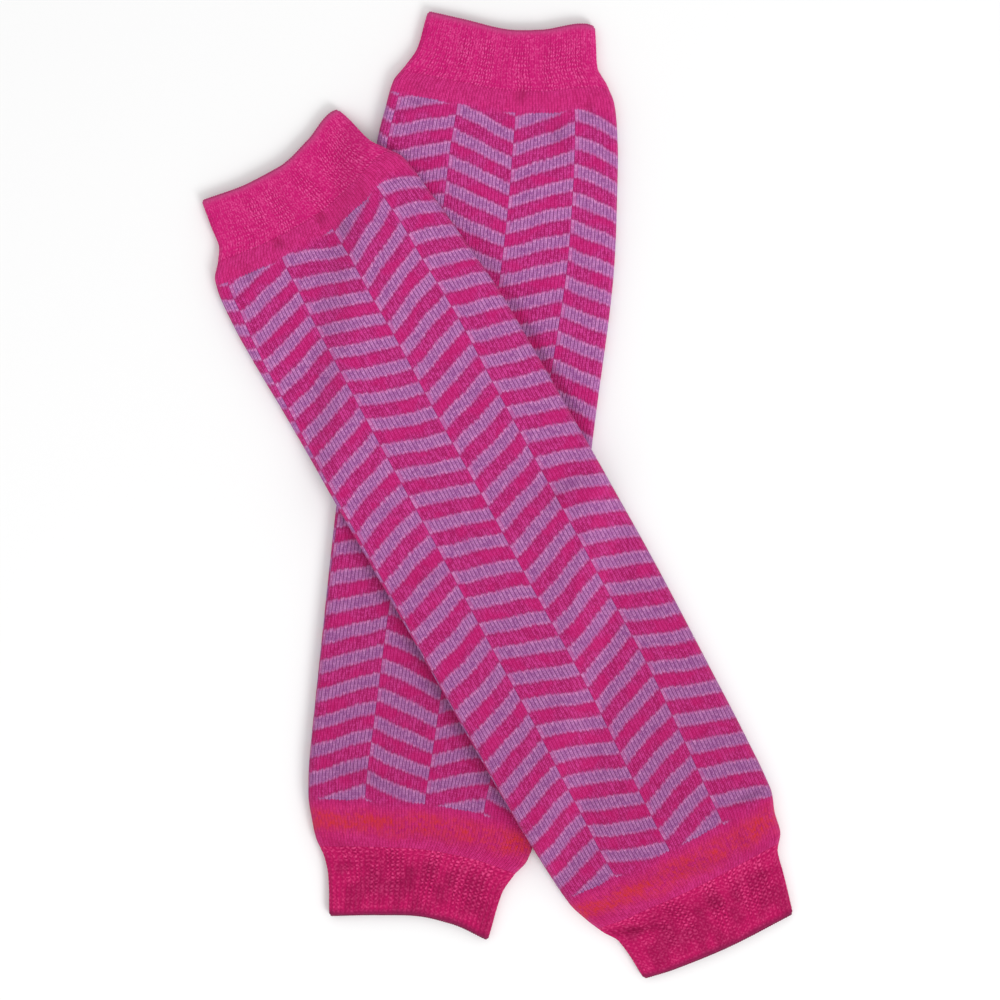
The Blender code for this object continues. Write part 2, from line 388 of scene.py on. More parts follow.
Wave = namedtuple("Wave", "size times run phase")
WALE_WAVES = [Wave(0.10, 7, 19.0, 0.4), Wave(0.04, 11, -11.3, 2.1)]
COURSE_WAVES = [Wave(0.38, 5, 26.0, 1.3), Wave(0.24, 9, -15.0, 0.2), Wave(0.12, 17, 9.0, 3.0)]


def wander(waves, share, station):
    """A small drift at this share of the way round and this station."""
    angle = 2.0 * math.pi * share
    return sum(w.size * np.sin(w.times * angle + station / w.run + w.phase) for w in waves)


def leg_turn(leg, wale, station):
    """How far round the tube a wale lies at this station."""
    start = curve(leg.twist, station) + wander(WALE_WAVES, wale / WALES, station)
    return (wale + start) / FACE_WALES


def leg_course(leg, wale, station):
    """How many courses lie between the pattern's start and this station."""
    return curve(leg.courses, station) + wander(COURSE_WAVES, wale / WALES, station)


print("courses in a leg:", round(float(curve(OVER.courses, 286.0) - curve(OVER.courses, 22.0))))

# %% Ribs and rib courses of the cuffs
# the distance from one hole of the rib to the next along it
CUFF_REPEAT = 1.42
ANKLE_SEAM = LENGTH - ANKLE_RIB
CUFF_WAVES = [Wave(0.10, 5, 6.0, 0.7), Wave(0.07, 8, -4.1, 1.9)]


def cuff_turn(leg, rib, station):
    """How far round the tube a rib lies at this station."""
    return (rib + wander(CUFF_WAVES, rib / (2 * RIBS), station)) / RIBS


def cuff_course(leg, rib, station):
    """Repeats of the rib's hole pattern, counted from the nearer seam."""
    seam = TOP_RIB if station.mean() < MIDDLE else ANKLE_SEAM
    return np.abs(station - seam) / CUFF_REPEAT + wander(CUFF_WAVES, rib / (2 * RIBS), station)


print("repeats of the holes along a top cuff:", round(TOP_RIB / CUFF_REPEAT, 1))

# %% [markdown]
# ## A wall from rows of points
#
# Every piece is one closed wall: rows of points run up its face, over the end, back along the inside and over
# the other end to where they began. Because rows and columns both close on themselves, the mesh is a plain
# grid with no poles. The rows and columns are close on the upper face, where the relief needs them, and far
# apart beneath. An open edge is nearly a half circle, as a knitted edge rolls. An end at a seam slants, the
# leg's rim over the cuff's end, and stands a little off its neighbour, so that no slot shows from above.

# %% Rows of a wall
# an end at a seam: the space to its neighbour, how far it slants, and how near its rim a row keeps that crisp
SEAM_SPACE = 0.05
SCARF = 1.0
SEAM_SUPPORT = 0.06
# an open edge: how far its rounding reaches, and the rows of half of it
EDGE_ROUND = 0.62
EDGE_ROWS = 5
# the relief: the ribs' height, its share left at a part's ends, and how far in it is full
TOP_RIDGE = 0.17
ANKLE_RIDGE = 0.14
END_RELIEF = 0.35
EASE = 2.6
# a row's valley is how much lower the face lies there between the ribs
Row = namedtuple("Row", "course inset raised valley")
Part = namedtuple("Part", "name low high wall rib open_end outer_steps inner_step")


def ramp(share):
    """0 up to 0, 1 from 1, and soft between."""
    share = np.clip(share, 0.0, 1.0)
    return share * share * (3.0 - 2.0 * share)


def spaced(stretches, end):
    """Places between the first stretch's start and the end. Each stretch is a start and a step."""
    stops = [start for start, step in stretches[1:]] + [end]
    runs = [
        np.linspace(start, stop, max(round((stop - start) / step), 1), endpoint=False)
        for (start, step), stop in zip(stretches, stops)
    ]
    return np.concatenate(runs)[1:]


def face_row(part, course):
    """A row of the part's outer face. Its relief is low at its ends, and the ribs flatten into a seam."""
    into_low, into_high = ramp((course - part.low) / EASE), ramp((part.high - course) / EASE)
    raised = END_RELIEF + (1.0 - END_RELIEF) * into_low * into_high
    from_seam = {-1: into_high, 0: 1.0, 1: into_low}[part.open_end]
    return Row(course, 0.0, raised, part.rib * from_seam)


def edge_rows(part, side):
    """Rows round an open edge, nearly a half circle."""
    course = part.high if side > 0 else part.low
    rows = []
    for angle in np.linspace(0.0, math.pi / 2, EDGE_ROWS):
        inset = EDGE_ROUND * (1.0 - math.cos(angle))
        at = course - side * EDGE_ROUND * (1.0 - math.sin(angle))
        rows.append(Row(at, inset, END_RELIEF * math.cos(angle), part.rib))
    return rows + [row._replace(inset=part.wall - row.inset, raised=0.0) for row in reversed(rows)]


def seam_rows(part, side):
    """Rows of an end at a seam, which slants. The first row keeps its rim crisp."""
    course = part.high if side > 0 else part.low
    rim = course - SCARF if course < MIDDLE else course + SCARF
    face = face_row(part, rim)
    return [face_row(part, rim - side * SEAM_SUPPORT), face, Row(course, part.wall, 0.0, face.valley)]


def wall_rows(part):
    """All rows of a part, in the order in which they close on themselves."""
    high_end = edge_rows(part, 1) if part.open_end > 0 else seam_rows(part, 1)
    low_end = edge_rows(part, -1) if part.open_end < 0 else seam_rows(part, -1)
    first, last = low_end[0].course, high_end[0].course
    steps = [(first, part.outer_steps[0][1])] + part.outer_steps[1:]
    outer = [face_row(part, course) for course in spaced(steps, last)]
    inside = spaced([(low_end[-1].course, part.inner_step)], high_end[-1].course)
    inner = [face_row(part, course)._replace(inset=part.wall, raised=0.0) for course in inside[::-1]]
    return outer + high_end + inner + low_end[::-1]


HALF_SPACE = SEAM_SPACE / 2
ROW = CUFF_REPEAT / 5
INNER_ROW = 1.6


def cuff(name, low, high, rib, open_end):
    """A cuff between two stations. open_end is -1 at the top edge and 1 at the ankle edge."""
    return Part(name, low, high, CUFF_WALL, rib, open_end, [(low, ROW)], INNER_ROW)


PARTS = [
    cuff("top_cuff", 0.0, TOP_RIB - HALF_SPACE, TOP_RIDGE, -1),
    Part(
        name="leg",
        low=TOP_RIB + HALF_SPACE,
        high=ANKLE_SEAM - HALF_SPACE,
        wall=LEG_WALL,
        rib=0.0,
        open_end=0,
        outer_steps=[(TOP_RIB, 1.05), (42.0, 1.9), (262.0, 1.05)],
        inner_step=5.0,
    ),
    cuff("ankle_cuff", ANKLE_SEAM + HALF_SPACE, LENGTH, ANKLE_RIDGE, 1),
]
for part in PARTS:
    print(part.name, "has", len(wall_rows(part)), "rows")

# %% [markdown]
# ## From rows and columns to a mesh
#
# Each face corner gets two maps: `knit`, in wales and courses, which the materials read, and an even one that
# gives the upper face, where most points are, most of the room. The points also carry the numbers that the
# relief needs: their wale and course, the way out of the cloth, and how much relief they take. There is none
# inside or on the flat underside, and it fades in round the folds. One more number, for the materials, says
# how deep a point lies.

# %% Make a wall
# the relief begins where the way out points this far down, and grows to its full height over this range
RELIEF_START = -0.85
RELIEF_RANGE = 0.7


def corners(grid):
    """A grid's values at each face's corners. The grid includes its closing row and column."""
    return np.stack([grid[:-1, :-1], grid[1:, :-1], grid[1:, 1:], grid[:-1, 1:]], -1).reshape(-1)


def closed(grid, wrap):
    """The grid with its first column repeated at its end, wrap higher, and then its first row."""
    grid = np.concatenate([grid, grid[:, :1] + wrap], 1)
    return np.concatenate([grid, grid[:1]], 0)


def store(mesh, label, values, kind="FLOAT"):
    """Keeps a value for each point of a mesh, under this name."""
    layer = mesh.attributes.new(label, kind, "POINT")
    layer.data.foreach_set("value" if kind == "FLOAT" else "vector", np.asarray(values, np.float32).ravel())


def add_object(name, data):
    """An object of this data, in the scene."""
    made = bpy.data.objects.new(name, data)
    bpy.context.scene.collection.objects.link(made)
    return made


def make_wall(name, leg, part, columns, round_count, turn_of, course_of):
    """A mesh object of one part, with its maps and what the relief needs to know."""
    rows = wall_rows(part)
    course, inset, raised, valley = (np.array([row[i] for row in rows])[:, None] for i in range(4))
    across = np.broadcast_to(columns, (len(rows), len(columns)))
    turn = np.mod(turn_of(leg, across, course), 2.0)
    points, out, sunk = cloth(leg, course, turn, inset, valley)
    count = course_of(leg, across, course)

    index = closed(np.arange(count.size, dtype=float).reshape(count.shape), 0.0)
    faces = corners(index).reshape(-1, 4).astype(int)
    mesh = bpy.data.meshes.new(name)
    mesh.from_pydata(points.reshape(-1, 3).tolist(), [], faces.tolist())
    even = np.meshgrid(np.linspace(0.0, 1.0, len(columns) + 1), np.linspace(0.0, 1.0, len(rows) + 1))
    maps = {"knit": (closed(across, round_count), closed(count, 0.0)), "OFBake": even}
    for label, (u, v) in maps.items():
        places = np.stack([corners(u), corners(v)], -1).astype(np.float32)
        mesh.uv_layers.new(name=label).uv.foreach_set("vector", places.ravel())
    shown = ramp((out[..., 2] - RELIEF_START) / RELIEF_RANGE)
    fields = {"wale": across, "course": count, "raised": raised * shown, "sunk": sunk}
    for label, values in fields.items():
        store(mesh, label, values)
    store(mesh, "out", out, "FLOAT_VECTOR")
    mesh.shade_smooth()
    return add_object(name, mesh)


def spread(first, last, each, each_below, total):
    """Columns from first to last, so many for each stitch, and fewer on the way back beneath."""
    above = np.arange(first, last, 1.0 / each)
    return np.concatenate([above, np.arange(last, first + total, 1.0 / each_below)])


LEG_COLUMNS = spread(first=-6.0, last=79.0, each=4, each_below=1, total=WALES)
CUFF_COLUMNS = spread(first=-2.0, last=RIBS + 2.0, each=8, each_below=2, total=2 * RIBS)
print("columns round a leg:", len(LEG_COLUMNS), "and round a cuff:", len(CUFF_COLUMNS))

# %% [markdown]
# ## Short words for node trees
#
# Both the relief (a Geometry Nodes tree) and the colours (shader trees) are formulas. `Tree.add` makes one
# node and fills its sockets in order, and `Field` lets Python's own arithmetic add the Math nodes, so a
# formula can be read as one.

# %% Tree and Field
class Field:
    """A number socket of a tree; arithmetic on it adds Math nodes."""

    def __init__(self, tree, socket):
        self.tree, self.socket = tree, socket

    def math(self, operation, *others):
        return self.tree.number("ShaderNodeMath", self, *others, operation=operation)

    def __add__(self, other):
        return self.math("ADD", other)

    def __sub__(self, other):
        return self.math("SUBTRACT", other)

    def __mul__(self, other):
        return self.math("MULTIPLY", other)

    def __truediv__(self, other):
        return self.math("DIVIDE", other)

    def flipped(self):
        """One minus it."""
        return self * -1.0 + 1.0

    def arched(self):
        """0 at 0 and 1, and 1 half-way between."""
        return (self - self * self) * 4.0

    def eased(self, start, end):
        """0 at start and 1 at end, softly."""
        ends = (start, end, 0.0, 1.0)
        return self.tree.number("ShaderNodeMapRange", self, *ends, interpolation_type="SMOOTHSTEP")


class Tree:
    """A node tree. Each call adds a node, sets it up and gives one of its outputs."""

    def __init__(self, tree):
        self.tree = tree

    def add(self, kind, *values, out=0, **settings):
        node = self.tree.nodes.new(kind)
        for name, value in settings.items():
            setattr(node, name, value)
        for socket, value in zip([socket for socket in node.inputs if socket.enabled], values):
            self.fill(socket, value)
        return [socket for socket in node.outputs if socket.enabled][out]

    def fill(self, socket, value):
        """Links a socket to a field or another socket, or gives it a plain value."""
        value = value.socket if isinstance(value, Field) else value
        if isinstance(value, bpy.types.NodeSocket):
            self.tree.links.new(value, socket)
        elif value is not None:
            socket.default_value = value

    def number(self, kind, *values, out=0, **settings):
        return Field(self, self.add(kind, *values, out=out, **settings))

    def mix(self, share, first, second):
        """A colour from first, at a share of 0, to second, at 1."""
        return self.add("ShaderNodeMix", share, first, second, data_type="RGBA")

    def place(self, x, y):
        return self.add("ShaderNodeCombineXYZ", x, y)

    def split(self, place):
        """The first two numbers of a place."""
        node = self.add("ShaderNodeSeparateXYZ", place).node
        return Field(self, node.outputs[0]), Field(self, node.outputs[1])

    def chance(self, x, y):
        """A number from 0 to 1 that is the same all over one stitch."""
        return self.number("ShaderNodeTexWhiteNoise", self.place(x, y), noise_dimensions="2D")

    def cloud(self, x, y, scale, detail=2.0):
        """Soft patches, around 0.5."""
        return self.number("ShaderNodeTexNoise", self.place(x, y), scale, detail, noise_dimensions="2D")

    def group(self, group, *values):
        """Places a group and gives all its outputs, as fields."""
        first = self.add("ShaderNodeGroup", *values, node_tree=group)
        return [Field(self, socket) for socket in first.node.outputs]


NUMBER = "NodeSocketFloat"
SHAPE = "NodeSocketGeometry"
FINISH = "NodeSocketMaterial"


def numbers(*labels):
    """Number sockets with these names."""
    return {label: NUMBER for label in labels}


def new_group(name, kind, inputs, outputs):
    """A group with these named sockets. Gives its tree, its inputs and the node that takes its results."""
    group = bpy.data.node_groups.new(name, kind)
    for label, socket_type in inputs.items():
        group.interface.new_socket(label, in_out="INPUT", socket_type=socket_type)
    for label, socket_type in outputs.items():
        group.interface.new_socket(label, in_out="OUTPUT", socket_type=socket_type)
    tree = Tree(group)
    given = [Field(tree, socket) for socket in group.nodes.new("NodeGroupInput").outputs if socket.name]
    return tree, given, group.nodes.new("NodeGroupOutput")


def end_group(tree, end, results):
    """Hands the results to a group's outputs and gives the group."""
    for socket, value in zip(end.inputs, results):
        tree.fill(socket, value)
    return tree.tree


print("kinds of socket used:", NUMBER, SHAPE, FINISH)

# %% [markdown]
# ## Relief by Geometry Nodes
#
# A wale stands up from the cloth as a rounded ridge with a groove on each side. In the rib of the cuffs the
# ridges are softer, and where a knitted wale dives down beside a purled one there is a small hole at every
# repeat. `Columns` says how many columns of holes a rib shows. All of that follows a rule, so one Geometry
# Nodes tree raises it on every piece: it reads each point's wale and course and moves the point along the way
# out of the cloth. Its sizes are named inputs, in metres. The shaders need the same holes, so their formula
# is a function.

# %% The relief tree
def named(tree, label, kind="FLOAT"):
    """What a point carries under this name."""
    return tree.number("GeometryNodeInputNamedAttribute", label, data_type=kind)


def rib_pattern(rib, course, columns):
    """The wale in visible columns, waves over the columns and over the rows, and how near a hole is."""
    wale = rib * columns + (columns * 0.5 - 0.5)
    over_columns = (wale * (2.0 * math.pi)).math("COSINE") * -1.0
    over_rows = (course * (2.0 * math.pi)).math("COSINE")
    hole = (over_columns * -0.5 + 0.5) * (over_rows * 0.5 + 0.5)
    return wale, over_columns, over_rows, hole


def make_relief_tree():
    sizes = numbers("Ridge height", "Roundness", "Columns", "Hole depth")
    inputs = {"Geometry": SHAPE, **sizes, "Material": FINISH}
    tree, given, end = new_group("Raise the wales", "GeometryNodeTree", inputs, {"Geometry": SHAPE})
    geometry, ridge_height, roundness, columns, hole_depth, material = given
    wale, course = named(tree, "wale"), named(tree, "course")
    sharp = (wale * math.pi).math("SINE").math("ABSOLUTE")
    ridge = sharp + (sharp * sharp - sharp) * roundness
    hole = rib_pattern(wale, course, columns)[-1]
    height = ridge * ridge_height - hole * hole_depth
    raised = height * named(tree, "raised")
    offset = tree.add("ShaderNodeVectorMath", named(tree, "out", "FLOAT_VECTOR"), raised, operation="SCALE")
    moved = tree.add("GeometryNodeSetPosition", geometry, None, None, offset)
    real = tree.add("GeometryNodeRealizeInstances", moved)
    return end_group(tree, end, [tree.add("GeometryNodeSetMaterial", real, None, material)])


def apply_tree(piece, group, **values):
    """Runs a Geometry Nodes tree on a piece with these inputs, and keeps the result as its plain mesh."""
    modifier = piece.modifiers.new(group.name, "NODES")
    modifier.node_group = group
    for item in group.interface.items_tree:
        label = item.name.lower().replace(" ", "_")
        if item.in_out == "INPUT" and label in values:
            modifier[item.identifier] = values[label]
    graph = bpy.context.evaluated_depsgraph_get()
    finished = piece.evaluated_get(graph)
    mesh = bpy.data.meshes.new_from_object(finished, preserve_all_data_layers=True, depsgraph=graph)
    piece.modifiers.clear()
    piece.data = mesh
    return piece


RELIEF = make_relief_tree()
print("nodes in the relief tree:", len(RELIEF.nodes))

# %% [markdown]
# ## The stocking stitch
#
# Close up, each stitch of plain knitting is a V: two strands that lean towards each other. Measured in wales
# and courses, a strand is where the course, leaned over by the distance from the wale's middle, passes
# through one unit. The group gives which stitch a point is in, the leaned course itself, how high the yarn
# stands there, and how far down the groove between two wales it is.

# %% Stocking stitch group
# how many courses a strand spans between its wale's middle and its edge
LEAN = 0.7


def make_stocking_stitch():
    inputs = numbers("Wale", "Course")
    outputs = numbers("Column", "Row", "Leaned course", "Height", "Groove")
    tree, (wale, course), end = new_group("Stocking stitch", "ShaderNodeTree", inputs, outputs)
    side = (wale.math("FRACT") - 0.5).math("ABSOLUTE") * 2.0
    leaned = course + side * LEAN - LEAN / 2
    strand = leaned.math("FRACT").arched()
    arm = side.eased(1.0, 0.5) * (side.eased(0.0, 0.3) * 0.55 + 0.45)
    height = arm * (strand * 0.55 + 0.45)
    stitch = [wale.math("FLOOR"), leaned.math("FLOOR")]
    return end_group(tree, end, stitch + [leaned, height, side.eased(0.5, 1.0)])


STOCKING_STITCH = make_stocking_stitch()
print("nodes in the stocking stitch:", len(STOCKING_STITCH.nodes))

# %% [markdown]
# ## The broken herringbone
#
# The second yarn makes slanting stripes that change direction from column to column, eighteen wales wide, as
# in a herringbone whose halves don't meet. A stripe is just under six courses high, twelve from the next, and
# climbs one course in two wales, partly evenly and partly in a step. So the chart is one line of arithmetic:
# how far a stitch is from the middle of a stripe in the twelve courses of the repeat, after the slant is
# taken off. The stripe's edge is soft. The group also gives how far past the edge a point is, the line where
# the slant turns, and the steps at which dots of yarn show.

# %% Broken herringbone group
# wales to a column of stripes, courses to a repeat, and half the height of a stripe
BLOCK = 18
REPEAT = 12.0
HALF_STRIPE = 2.87
# the share of the climb that comes in steps, and how soft a stripe's edges are
STEPPED = 0.4
EDGE_BLUR = 0.6
# the courses between which the leg is patterned, and how soft those ends are
FIRST_COURSE = 0.0
LAST_COURSE = 300.0
PLAIN_BLUR = 0.3
# the chart's row at course 0, and the rows at which its two kinds of column start
CHART_START = 4.2
FALLING_START = 6.0
RISING_START = 3.0


def make_herringbone():
    inputs = numbers("Wale", "Course")
    outputs = numbers("Second yarn", "Past the edge", "Turning line", "Step")
    tree, (wale, course), end = new_group("Broken herringbone", "ShaderNodeTree", inputs, outputs)
    block = (wale / BLOCK).math("FLOOR")
    along = (wale - block * BLOCK) * 0.5
    climb = along * (1.0 - STEPPED) + (along.math("FLOOR") + 0.5) * STEPPED
    odd = block.math("FLOORED_MODULO", 2.0)
    phase = climb * -1.0 + FALLING_START + odd * (climb * 2.0 - (FALLING_START - RISING_START))
    position = (course + CHART_START - phase).math("FLOORED_MODULO", REPEAT)
    away = (position - REPEAT / 4).math("ABSOLUTE")
    away = away.math("MINIMUM", away * -1.0 + REPEAT)
    begun = course.eased(FIRST_COURSE - PLAIN_BLUR, FIRST_COURSE + PLAIN_BLUR)
    unended = course.eased(LAST_COURSE + PLAIN_BLUR, LAST_COURSE - PLAIN_BLUR)
    second = away.eased(HALF_STRIPE + EDGE_BLUR, HALF_STRIPE - EDGE_BLUR) * (begun * unended)
    turning = (along - 0.25).math("ABSOLUTE").eased(0.45, 0.2)
    step = position.eased(1.5, 0.9) * along.math("FRACT").eased(0.6, 0.4)
    return end_group(tree, end, [second, away - HALF_STRIPE, turning, step])


HERRINGBONE = make_herringbone()
print("nodes in the herringbone:", len(HERRINGBONE.nodes))

# %% [markdown]
# ## The leg's material
#
# Yarn isn't one colour. Single stitches differ a little, and the dye is heathered in short streaks along the
# wales. Painted highlight makes the yarn paler where it stands up, and painted shade darkens the grooves,
# more so in the thinner second yarn. At a stripe's edges and steps, floats of the other yarn show as pale
# dots, and the first yarn is duller beside a stripe. The leg's plain ends are in the first yarn, which is
# brighter and smoother there; near the ankle a few orange flecks are knitted in. The colour is darker
# towards the ankle, partly a deeper tone of the yarn and partly painted shade, and painted shade darkens
# the creases.

# %% Yarn colours
def rgb(red, green, blue):
    return (red, green, blue, 1.0)


LILAC = rgb(0.295, 0.070, 0.278)
LILAC_PALE = rgb(0.535, 0.200, 0.495)
LILAC_EDGE = rgb(0.660, 0.125, 0.390)
# painted shade in the lilac grooves
LILAC_GROOVE_SHADE = rgb(0.170, 0.030, 0.138)
# what the lilac darkens to towards the ankle and in creases: partly tone, partly painted shade
LILAC_LOW = rgb(0.090, 0.020, 0.055)
PINK = rgb(0.370, 0.007, 0.110)
PINK_PALE = rgb(0.670, 0.056, 0.315)
PINK_HOT = rgb(0.600, 0.008, 0.160)
PINK_EDGE = rgb(0.260, 0.028, 0.140)
# painted shade in the pink grooves
PINK_GROOVE_SHADE = rgb(0.230, 0.005, 0.075)
# what the pink darkens to towards the ankle and in creases: partly tone, partly painted shade
PINK_LOW = rgb(0.240, 0.001, 0.030)
PLAIN_PINK = rgb(0.500, 0.010, 0.125)
PLAIN_PALE = rgb(0.800, 0.041, 0.275)
PALE_DOT = rgb(0.840, 0.360, 0.690)
FLECK = rgb(0.590, 0.030, 0.022)


def knit_map(tree):
    """The wale (or rib) and the course at this point."""
    return tree.split(tree.add("ShaderNodeUVMap", uv_map="knit"))


def sunk_here(tree):
    """How far this point lies below a smooth face, in millimetres."""
    return tree.number("ShaderNodeAttribute", out=2, attribute_name="sunk")


SPECULAR = 0.08
SHEEN = 0.15
SHEEN_ROUGHNESS = 0.5
SHEEN_TINT = rgb(1.0, 0.62, 0.85)


def make_yarn_material(name, make_finish, relief):
    """A material of the colour, roughness and height that make_finish gives, with the yarn's soft sheen."""
    material = bpy.data.materials.new(name)
    material.use_nodes = True
    material.node_tree.nodes.clear()
    tree = Tree(material.node_tree)
    colour, roughness, height = make_finish(tree)
    bump = tree.add("ShaderNodeBump").node
    bump.inputs["Distance"].default_value = relief
    tree.fill(bump.inputs["Height"], height)
    shader = tree.add("ShaderNodeBsdfPrincipled").node
    values = {
        "Base Color": colour,
        "Roughness": roughness,
        "Normal": bump.outputs[0],
        "Specular IOR Level": SPECULAR,
        "Sheen Weight": SHEEN,
        "Sheen Roughness": SHEEN_ROUGHNESS,
        "Sheen Tint": SHEEN_TINT,
    }
    for label, value in values.items():
        tree.fill(shader.inputs[label], value)
    output = tree.tree.nodes.new("ShaderNodeOutputMaterial")
    tree.fill(output.inputs[0], shader.outputs[0])
    print(f"nodes in {name}:", len(tree.tree.nodes))
    return material


print("sheen of all yarns:", SHEEN, "at a roughness of", SHEEN_ROUGHNESS)

# %% Leg material
# the course round which the flecks lie, and how far from it they reach
FLECKS_MIDDLE = 308.5
FLECKS_REACH = 7.5
# how much darker the colour is at the course FADE_END, partly the yarn's tone and partly painted shade, and
# how much painted shade a crease adds for each millimetre down
FADE = 0.285
FADE_END = 340.0
CREASE_SHADE = 0.32
LEG_BUMP = 0.00018


def leg_finish(tree):
    wale, course = knit_map(tree)
    column, row, leaned, height, groove = tree.group(STOCKING_STITCH, wale, course)
    stitch = tree.chance(column, row)
    strand = tree.chance((wale * 2.0).math("FLOOR"), row)
    streak = tree.cloud(wale * 0.9, course * 0.3, 1.0, 3.0)
    patch = tree.cloud(wale, course * 0.7, 0.28, 2.0)
    pulled = leaned * 0.7 + course * 0.3 + (streak - 0.5) * 1.3
    second, past_edge, turning, step = tree.group(HERRINGBONE, wale, pulled)

    # painted highlight where the yarn stands up and painted shade below it, with real unevenness strand by
    # strand and in soft patches
    fine = (height - 0.55) * 1.1 + (strand - 0.5) * 0.95
    mottled = (patch + streak - 1.0) * 0.4
    lit_and_mottled = fine + mottled

    # the second yarn, with painted shade in the grooves, pinker rims and pale dots
    lilac = tree.mix(lit_and_mottled + 0.50, LILAC, LILAC_PALE)
    lilac = tree.mix(groove * (strand * 0.8 + streak * 0.2), lilac, LILAC_GROOVE_SHADE)
    rim = past_edge.eased(-1.3, -0.5).math("MAXIMUM", turning)
    lilac = tree.mix(rim * 0.45, lilac, LILAC_EDGE)
    speckled = (stitch + streak).eased(1.0, 1.35) * (rim * 0.25 + 0.3)
    stepped = step * (stitch * 0.7 + 0.2)
    lilac = tree.mix(speckled.math("MAXIMUM", stepped) * height, lilac, PALE_DOT)

    # the first yarn, brighter in places and in the plain ends, with painted shade in the grooves, and duller
    # beside a stripe
    pink = tree.mix(lit_and_mottled + 0.42, PINK, PINK_PALE)
    hot = tree.cloud(wale + 40.0, course * 0.8, 0.14, 1.0).eased(0.45, 0.65)
    pink = tree.mix(hot * 0.5, pink, PINK_HOT)
    plain = course.eased(FIRST_COURSE + 3.0, FIRST_COURSE - 2.0)
    plain = plain + course.eased(LAST_COURSE - 2.0, LAST_COURSE + 3.0)
    pink = tree.mix(groove * (strand * 0.5 + streak * 0.4 - 0.35), pink, PINK_GROOVE_SHADE)
    pink = tree.mix(past_edge.eased(1.5, 0.1) * plain.flipped() * 0.4, pink, PINK_EDGE)
    plain_pink = tree.mix(fine * 0.5 + mottled * 0.5 + 0.45, PLAIN_PINK, PLAIN_PALE)
    pink = tree.mix(plain * 0.75, pink, plain_pink)

    # both darker towards the ankle, partly the yarn's tone and partly painted shade, painted shade in the
    # creases, and the flecks
    deeper = course.eased(FIRST_COURSE, FADE_END) * FADE + sunk_here(tree) * CREASE_SHADE
    lilac = tree.mix(deeper, lilac, LILAC_LOW)
    pink = tree.mix(deeper, pink, PINK_LOW)
    away = (course - FLECKS_MIDDLE).math("ABSOLUTE") + (streak - 0.5) * 4.0
    blob = tree.cloud(wale * 0.7, course, 0.17, 1.0).eased(0.3, 0.7)
    fleck = blob * 0.35 + 0.22 + (stitch + strand - 1.0) * 0.5
    pink = tree.mix(away.eased(FLECKS_REACH, 1.0) * fleck, pink, FLECK)
    return tree.mix(second, pink, lilac), height * -0.08 + 0.93, height + strand * 0.2


LEG_FINISH = make_yarn_material("two_yarn_stocking_stitch", leg_finish, LEG_BUMP)

# %% [markdown]
# ## The cuffs' material
#
# The cuffs are a one-and-one rib with elastic laid in. It shows rows and columns of pale dots, painted
# highlight on the stitches, with holes between them painted dark as shade, one column to a rib at the ankle
# and two at the top, where the rib is wider open. They are clear where the cuff is stretched and faint
# elsewhere, so they come and go in soft bands and fade towards the open edge. The stitches are uneven in
# place and in shade. The ankle cuffs are darker than the top ones, partly a deeper tone of the yarn and
# partly painted shade. Their patches are partly mottled yarn and partly painted shade beyond the roll, and
# their dark rim is painted shade under the rolled edge. A top cuff's rim is slightly paler.

# %% Rib stitch group
def make_rib_stitch():
    inputs = numbers("Rib", "Course", "Columns")
    outputs = numbers("Column", "Row", "Height", "Over columns", "Over rows", "Hole")
    tree, (rib, course, columns), end = new_group("Rib stitch", "ShaderNodeTree", inputs, outputs)
    wale, over_columns, over_rows, hole = rib_pattern(rib, course, columns)
    side = (wale.math("FRACT") - 0.5).math("ABSOLUTE") * 2.0
    leaned = course + side * LEAN / 2 + 0.5
    height = side.eased(1.0, 0.3) * (leaned.math("FRACT").arched() * 0.7 + 0.3)
    stitch = [wale.math("FLOOR"), leaned.math("FLOOR")]
    return end_group(tree, end, stitch + [height, over_columns, over_rows, hole])


RIB_STITCH = make_rib_stitch()
print("nodes in the rib stitch:", len(RIB_STITCH.nodes))

# %% Cuff materials
RIB_BUMP = 0.00008
# `light` shifts the tone; `deeper` sets the dark patches, partly mottled yarn and partly painted shade;
# `columns`,
# `ribbed`, `rowed` and `dotted` make the pattern of pale dots (painted highlight) and dark holes (painted
# shade);
# and from the course `last` on, the edge's colour, painted shade at the ankle, is at its full
RibYarn = namedtuple("RibYarn", "main pale hole edge light deeper columns ribbed rowed dotted last")
TOP_YARN = RibYarn(
    main=rgb(0.570, 0.011, 0.163),
    pale=rgb(0.800, 0.090, 0.320),
    hole=rgb(0.300, 0.001, 0.070),
    edge=rgb(0.520, 0.062, 0.210),
    light=0.09,
    deeper=0.0,
    columns=2.0,
    ribbed=0.44,
    rowed=0.19,
    dotted=0.36,
    last=15.5,
)
ANKLE_YARN = RibYarn(
    # darker than the top yarn, partly its own tone and partly painted shade
    main=rgb(0.440, 0.005, 0.094),
    pale=rgb(0.700, 0.060, 0.215),
    hole=rgb(0.190, 0.001, 0.040),
    # the dark rim is painted shade under the rolled edge
    edge=rgb(0.160, 0.008, 0.050),
    light=0.05,
    deeper=0.4,
    columns=1.0,
    ribbed=0.16,
    rowed=0.34,
    dotted=0.72,
    last=16.9,
)


